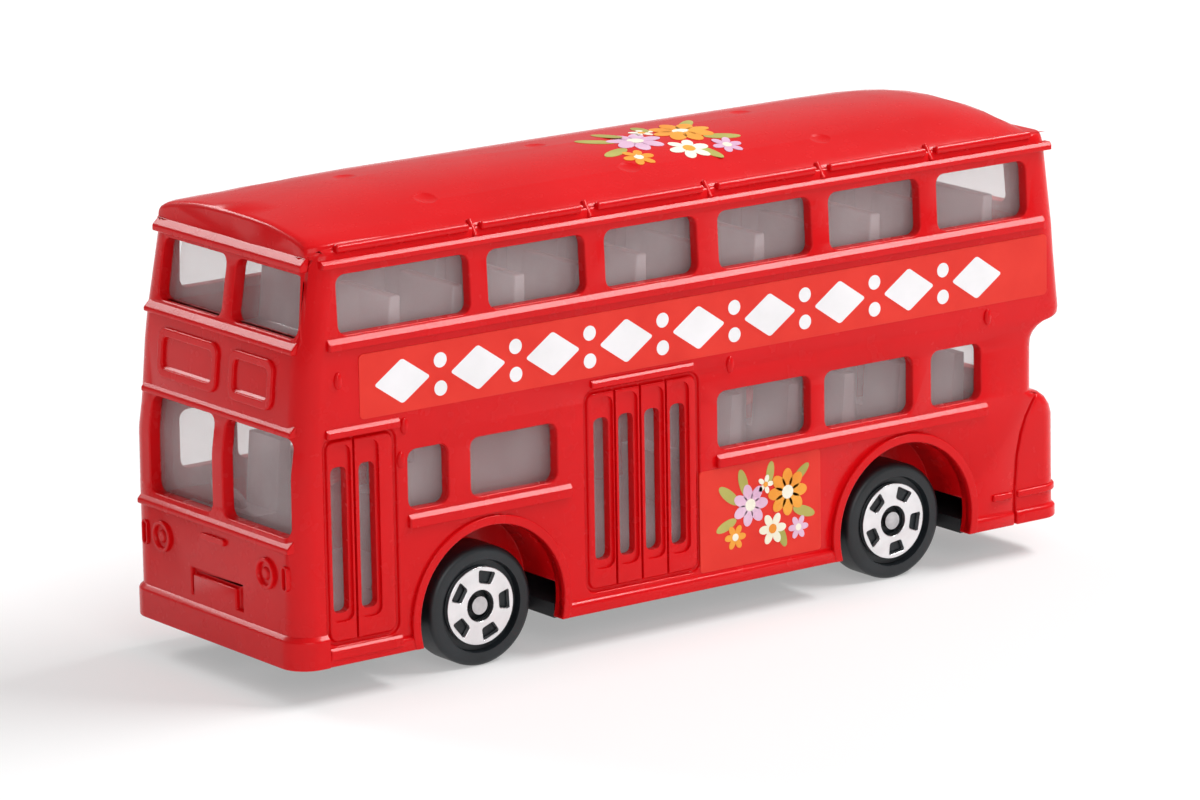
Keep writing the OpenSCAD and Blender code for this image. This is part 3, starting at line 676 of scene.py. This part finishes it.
def makeFrontLamps():
    lamps = []
    face = shell["halfLength"] - 0.4
    radius = frontTrim["lampRadius"]
    for y, height in frontTrim["lamps"]:
        lamp = disc("lamp", (face - 0.35, y, height), radius, 1.3, "X", 48)
        selectFaces(lamp, lambda part: part.normal.x > 0.9)
        bpy.ops.mesh.inset(thickness=0.3)
        bpy.ops.mesh.inset(thickness=0.14, depth=-0.45)
        bpy.ops.mesh.inset(thickness=0.2)
        bpy.ops.mesh.inset(thickness=0.25, depth=0.35)
        bpy.ops.object.mode_set(mode="OBJECT")
        softenEdges(lamp, 0.08, 3)
        lamps.append(lamp)
    wide, tall = frontTrim["ovalSize"]
    for y, height in frontTrim["ovals"]:
        oval = roundedBlock("oval", (face - 0.5, y - wide / 2, height - tall / 2),
                            (face + 0.24, y + wide / 2, height + tall / 2), 0.4, "X", 6)
        selectFaces(oval, lambda part: part.normal.x > 0.9)
        bpy.ops.mesh.inset(thickness=0.16)
        bpy.ops.mesh.inset(thickness=0.06, depth=-0.3)
        bpy.ops.object.mode_set(mode="OBJECT")
        softenEdges(oval, 0.05, 2)
        lamps.append(oval)
    return combine(lamps, "frontLamps")


def makeFrontBars():
    face = shell["halfLength"] - 0.4
    handle = frontTrim["handle"]
    bars = [frontLedge(*place) for place in frontTrim["ledges"]]
    bumper = block("bumper", (frontTrim["bumperBack"], -frontTrim["bumperHalf"], 3.0),
                   (shell["halfLength"], frontTrim["bumperHalf"], frontTrim["bumperTop"]))
    roundEdges(bumper, lambda a, b: abs(a.z - b.z) > 1 and a.x > 39, 2.35, 8)
    roundEdges(bumper, lambda a, b: min(a.z, b.z) > frontTrim["bumperTop"] - near
               and max(a.x, b.x) > 37, 0.42, 1)
    softenEdges(bumper, 0.12, 3, 25)
    bars.append(bumper)
    bar = roundedBlock("handle", (face - 0.5, handle["y"][0], handle["z"][0]),
                       (face + 0.28, handle["y"][1], handle["z"][1]), 0.22, "X", 4)
    softenEdges(bar, 0.1, 3)
    return combine(bars + [bar], "frontBars")


def makeRearBumper():
    bands = []
    for front, rear, proud in ((-34.15, -39.3, 0.26), (-31.5, -33.6, 0.26)):
        half = shell["halfWidth"] + proud
        band = block("rearBumper", (rear, -half, 5.35), (front, half, 5.95))
        if rear < -39:
            roundEdges(band, lambda a, b: abs(a.z - b.z) > 0.1 and a.x < -39, 2.2, 8)
        softenEdges(band, 0.16, 3)
        bands.append(band)
    return combine(bands, "rearBumper")


finishPiece(makeDestinationBoxes(), "bus", "red_paint", redEnamel)
finishPiece(makeFrontLamps(), "bus", "red_paint", redEnamel)
finishPiece(makeFrontBars(), "bus", "red_paint", redEnamel)
finishPiece(makeRearBumper(), "bus", "red_paint", redEnamel)
print("casting finished")

# printed decoration: a band of lozenges, and a posy on each side and on the roof

band = {
    "rear": -37.5, "front": 33.1, "bottom": 22.65, "top": 27.9, "film": 0.035,
    "lozenges": [29.0 - 7.35 * i for i in range(9)], "lozengeSize": (5.4, 3.7), "middle": 25.2,
    "dot": 0.62, "dotRise": 1.15, "dotShift": 3.68,
    "square": {"x": (-12.9, -0.3), "z": (4.4, 13.0)},
}
posy = {
    "side": (-7.2, 8.9, 1.0),
    "roofPlace": (-3.6, 3.3, 1.35),
    # across, up, length, width, turn in degrees
    "leaves": [(-3.9, 1.6, 2.6, 0.95, 140), (-2.4, 2.5, 2.4, 0.9, 105), (3.9, -0.9, 2.4, 0.9, -20),
               (3.6, 2.4, 2.2, 0.8, 40), (0.4, 2.9, 2.0, 0.8, 80), (-4.2, -0.9, 2.2, 0.85, 200),
               (1.6, -2.7, 2.0, 0.8, -70)],
    # ink, across, up, radius, petals
    "flowers": [("lilac", -1.7, 0.5, 1.75, 7), ("orange", 2.2, 1.0, 1.95, 8), ("cream", 0.6, -1.9, 1.35, 6),
                ("orange", -3.3, -2.0, 1.05, 6), ("lilac", 3.3, -2.2, 1.0, 6), ("cream", -0.1, 2.0, 0.8, 5)],
}


def layFlat(piece, spot, normal, across):
    across = (across - across.dot(normal) * normal).normalized()
    up = normal.cross(across)
    piece.matrix_world = Matrix.Translation(spot) @ Matrix((across, up, normal)).transposed().to_4x4()
    return settle(piece, piece.name)


def posyShapes(size):
    for across, up, length, width, turn in posy["leaves"]:
        yield "olive", across * size, up * size, length / 2 * size, width / 2 * size, radians(turn), 0
    for ink, across, up, radius, petals in posy["flowers"]:
        for i in range(petals):
            angle = 2 * pi * i / petals
            reach = radius * 0.62
            yield (ink, (across + reach * cos(angle)) * size, (up + reach * sin(angle)) * size,
                   radius * 0.42 * size, radius * 0.27 * size, angle, 0.012)
        eye = "cream" if ink != "cream" else "orange"
        yield eye, across * size, up * size, radius * 0.3 * size, radius * 0.3 * size, 0, 0.024


def printPosy(name, size, placeAt):
    groups = {}
    for ink, across, up, long, short, turn, lift in posyShapes(size):
        shape = disc("petal", (0, 0, 0), 1, band["film"], "Z", 28)
        shape.scale = (long, short, 1)
        settle(shape, "petal")
        shape.rotation_euler = (0, 0, turn)
        settle(shape, "petal")
        spot, normal, along = placeAt(across, up)
        groups.setdefault(ink, []).append(layFlat(shape, spot + normal * lift, normal, along))
    for ink, shapes in groups.items():
        finishPiece(combine(shapes, name + ink.capitalize()), "bus", "decoration_print", inks[ink])


def sidePlace(side):
    x, z, size = posy["side"]
    wall = shell["halfWidth"] + band["film"] * 1.4

    def place(across, up):
        return Vector((x - side * across, side * wall, z + up)), Vector((0, side, 0)), Vector((-side, 0, 0))
    return place


def roofPlace(body):
    x, y, size = posy["roofPlace"]

    def place(across, up):
        found, spot, normal, face = body.ray_cast(Vector((x - across, y - up, 60)), Vector((0, 0, -1)))
        return spot + normal * band["film"] * 0.4, normal, Vector((-1, 0, 0))
    return place


def filmOnSide(side, name, x, z, radius, ink):
    wall = shell["halfWidth"]
    low, high = sorted((side * (wall - 0.1), side * (wall + band["film"])))
    film = roundedBlock(name, (x[0], low, z[0]), (x[1], high, z[1]), radius, "Y", 4)
    return finishPiece(film, "bus", "decoration_print", inks[ink])


def printBand(side, name):
    filmOnSide(side, name + "Band", (band["rear"], band["front"]), (band["bottom"], band["top"]),
               0.4, "scarlet")
    filmOnSide(side, name + "Square", band["square"]["x"], band["square"]["z"], 0.3, "scarlet")
    wall, wide, tall = shell["halfWidth"] + band["film"], *band["lozengeSize"]
    shapes = []
    for x in band["lozenges"]:
        lozenge = disc("lozenge", (0, 0, 0), 1, band["film"], "Z", 4)
        lozenge.scale = (wide / 2, tall / 2, 1)
        settle(lozenge, "lozenge")
        roundEdges(lozenge, lambda a, b: abs(a.z - b.z) > 0.01, 0.25, 4)
        spot = Vector((x, side * wall, band["middle"]))
        shapes.append(layFlat(lozenge, spot, Vector((0, side, 0)), Vector((-side, 0, 0))))
        if x > band["lozenges"][-1]:
            for rise in (-band["dotRise"], band["dotRise"]):
                spot = (x - band["dotShift"], side * wall, band["middle"] + rise)
                shapes.append(disc("dot", spot, band["dot"], band["film"], "Y", 32))
    finishPiece(combine(shapes, name + "Lozenges"), "bus", "decoration_print", inks["white"])


printPosy("roofPosy", posy["roofPlace"][2], roofPlace(bodyShell))
finishPiece(bodyShell, "bus", "red_paint", redEnamel)
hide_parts("body_shell")
for side, name in ((1, "left"), (-1, "right")):
    printBand(side, name)
    printPosy(name + "Posy", posy["side"][2], sidePlace(side))
print("decoration printed")

# wheels

wheel = {
    "radius": 5.0, "width": 3.5, "outerFace": 10.75, "shoulder": 0.5,
    "gapOuter": 3.85, "discRadius": 3.25, "hubRadius": 1.3, "windowInner": 1.85, "windowOuter": 2.85,
    "windowHalf": 0.6, "windowSpread": 1.4,
    # turn of each disc in degrees
    "windowTurn": {"front_left": 3, "front_right": 40, "rear_left": -10, "rear_right": 20},
    "places": {"front_left": (20.8, 1), "front_right": (20.8, -1),
               "rear_left": (-21.9, 1), "rear_right": (-21.9, -1)},
}


def makeTyre(name):
    face, back = wheel["outerFace"], wheel["outerFace"] - wheel["width"]
    tyre = disc(name, (0, face - wheel["width"] / 2, 0), wheel["radius"], wheel["width"], "Y", 96)
    roundEdges(tyre, lambda a, b: abs(a.y - b.y) < near, wheel["shoulder"], 4)
    flat = wheel["radius"] - wheel["shoulder"]
    selectFaces(tyre, lambda part: part.normal.y > 0.99 and part.center.y > face - 0.01)
    bpy.ops.mesh.inset(thickness=flat - wheel["gapOuter"])
    bpy.ops.mesh.inset(thickness=0.08, depth=-0.7)
    bpy.ops.mesh.inset(thickness=wheel["gapOuter"] - 0.08 - wheel["hubRadius"] + 0.05)
    bpy.ops.mesh.extrude_region_move(TRANSFORM_OT_translate={"value": (0, -0.5, 0)})
    bpy.ops.object.mode_set(mode="OBJECT")
    selectFaces(tyre, lambda part: part.normal.y < -0.99 and part.center.y < back + 0.01)
    bpy.ops.mesh.inset(thickness=flat - 3.6)
    bpy.ops.mesh.inset(thickness=0.2, depth=-0.6)
    bpy.ops.object.mode_set(mode="OBJECT")
    softenEdges(tyre, 0.06, 2, 40)
    return tyre


def makeDisc(name, turn):
    front = wheel["outerFace"] - 0.12
    plate = disc(name, (0, front - 0.25, 0), wheel["discRadius"], 0.5, "Y", 80)
    cutters = [disc("hole", (0, front, 0), wheel["hubRadius"], 3, "Y", 48)]
    for i in range(5):
        angle = radians(turn + 72 * i)
        inner, outer, half = wheel["windowInner"], wheel["windowOuter"], wheel["windowHalf"]
        wedge = block("wedge", (-outer, -1, -half), (-inner, 1, half))
        selectFaces(wedge, lambda part: part.normal.x < -0.9)
        bpy.ops.transform.resize(value=(1, 1, wheel["windowSpread"]), center_override=(-outer, 0, 0))
        bpy.ops.object.mode_set(mode="OBJECT")
        roundEdges(wedge, lambda a, b: abs(a.y - b.y) > 1, 0.18, 4)
        wedge.rotation_euler = (0, angle, 0)
        wedge.location = (0, front, 0)
        cutters.append(settle(wedge, "wedge"))
    cutAway(plate, combine(cutters, "cutters"))
    softenEdges(plate, 0.08, 3, 40)
    return plate


def placeWheel(piece, corner):
    x, side = wheel["places"][corner]
    piece.scale = (1, side, 1)
    piece.location = (x, 0, wheel["radius"])
    settle(piece, piece.name)
    turnOutwards(piece)
    return piece


for corner in wheel["places"]:
    tyre = finishPiece(placeWheel(makeTyre(corner + "_tyre"), corner), corner, "wheel_black", tyreBlack)
    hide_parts(corner + "_wheel")
    finishPiece(placeWheel(makeDisc(corner + "_disc", wheel["windowTurn"][corner]), corner), corner,
                "wheel_silver", silverFoil)
print("wheels finished")

# inside and running gear


def paintNode(node, material):
    piece = frame["nodes"][node]
    piece.data.materials.clear()
    piece.data.materials.append(material)


def roundedCopy(node, name, width):
    source = frame["nodes"][node]
    copied = source.copy()
    copied.data = source.data.copy()
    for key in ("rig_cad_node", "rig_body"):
        if key in copied:
            del copied[key]
    bpy.context.scene.collection.objects.link(copied)
    copied.parent = None
    copied.name = name
    copied.data.name = name
    pick(copied)
    copied.scale = (1 / mm, 1 / mm, 1 / mm)
    bpy.ops.object.transform_apply(location=False, rotation=False, scale=True)
    bpy.ops.object.mode_set(mode="EDIT")
    bpy.ops.mesh.select_all(action="SELECT")
    bpy.ops.mesh.remove_doubles(threshold=0.002)
    bpy.ops.mesh.dissolve_limited(angle_limit=radians(2))
    bpy.ops.object.mode_set(mode="OBJECT")
    softenEdges(copied, width, 2, 30)
    return copied


for node, name in (("upper_deck_interior", "upperSeats"), ("lower_deck_interior", "lowerSeats")):
    seats = finishPiece(roundedCopy(node, name, 0.22), "bus", "interior_cream", milkyStyrene)
    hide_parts(node)
for node in ("upper_glazing", "lower_glazing"):
    paintNode(node, clearStyrene)
for node in ("front_axle", "rear_axle", "front_spring", "rear_spring", "front_rivet", "rear_rivet"):
    paintNode(node, drawnSteel)
paintNode("base_plate", blackBase)
print("inside finished")

# studio

view = {"target": (0.81, 0, 17.07), "distance": 540.89,
        "azimuth": 53.943, "elevation": 13.402, "roll": -0.957,
        "lens": 194.63}
light = {
    "world": 0.38,
    # place, size across, size along, watts, aim
    "strip": ((-0.50, 0.19, 0.69), 0.7, 0.16, 7.2),
    "side": ((0.30, 0.85, 0.42), 0.5, 0.5, 2.3),
    "front": ((0.14, -0.72, 0.56), 0.35, 0.2, 2.6),
    "floorLift": 0.35,
}


def makeCamera():
    around, up = radians(view["azimuth"]), radians(view["elevation"])
    back = Vector((cos(up) * cos(around), cos(up) * sin(around), sin(up)))
    right = Vector((-sin(around), cos(around), 0))
    top = back.cross(right)
    roll = radians(view["roll"])
    rightTurned = cos(roll) * right + sin(roll) * top
    topTurned = cos(roll) * top - sin(roll) * right
    bpy.ops.object.camera_add()
    camera = bpy.context.object
    place = (Vector(view["target"]) + back * view["distance"]) * mm
    turned = Matrix((rightTurned, topTurned, back)).transposed().to_4x4()
    camera.matrix_world = Matrix.Translation(place) @ turned
    camera.data.lens = view["lens"]
    camera.data.sensor_width = 36
    camera.data.clip_start = 0.01
    camera.data.clip_end = 20
    bpy.context.scene.camera = camera
    return camera


def seenDirectly(tree):
    path = tree.nodes.new("ShaderNodeLightPath")
    first = tree.nodes.new("ShaderNodeMath")
    first.operation = "MAXIMUM"
    tree.links.new(path.outputs["Is Camera Ray"], first.inputs[0])
    tree.links.new(path.outputs["Is Glossy Ray"], first.inputs[1])
    second = tree.nodes.new("ShaderNodeMath")
    second.operation = "MAXIMUM"
    tree.links.new(first.outputs[0], second.inputs[0])
    tree.links.new(path.outputs["Is Transmission Ray"], second.inputs[1])
    return second


def makeFloor():
    bpy.ops.object.select_all(action="DESELECT")
    bpy.ops.mesh.primitive_plane_add(size=8, location=(0, 0, 0))
    floor = bpy.context.object
    floor.name = "floor"
    material, tree, shader = newMaterial("palePaper", colour=(0.88, 0.88, 0.88, 1), specular=0.1)
    varyRoughness(tree, shader, objectNoise(tree, 60, 3), 0.85, 0.95)
    white = tree.nodes.new("ShaderNodeEmission")           # lifts the paper to white and keeps the shadow
    lift = tree.nodes.new("ShaderNodeMath")
    lift.operation = "MULTIPLY"
    lift.inputs[1].default_value = light["floorLift"]
    tree.links.new(seenDirectly(tree).outputs[0], lift.inputs[0])
    mix = tree.nodes.new("ShaderNodeMixShader")
    tree.links.new(lift.outputs[0], mix.inputs[0])
    tree.links.new(shader.outputs[0], mix.inputs[1])
    tree.links.new(white.outputs[0], mix.inputs[2])
    tree.links.new(mix.outputs[0], tree.nodes["Material Output"].inputs["Surface"])
    floor.data.materials.append(material)
    return floor


def makeLamp(name, place, across, along, power, aim=(0, 0, 0.02)):
    bpy.ops.object.light_add(type="AREA", location=place)
    lamp = bpy.context.object
    lamp.name = name
    lamp.data.shape = "RECTANGLE"
    lamp.data.size = across
    lamp.data.size_y = along
    lamp.data.energy = power
    lamp.rotation_euler = (Vector(aim) - Vector(place)).to_track_quat("-Z", "Y").to_euler()
    return lamp


def makeWorld(strength):
    world = bpy.data.worlds.new("softWorld")
    bpy.context.scene.world = world
    world.use_nodes = True
    sky = world.node_tree.nodes["Background"]
    sky.inputs["Color"].default_value = (1, 1, 1, 1)
    sky.inputs["Strength"].default_value = strength


makeCamera()
makeFloor()
makeWorld(light["world"])
makeLamp("stripBox", *light["strip"])
makeLamp("sideBox", *light["side"])
makeLamp("frontBox", *light["front"])
bpy.context.scene.view_settings.view_transform = "Standard"
print("studio set")
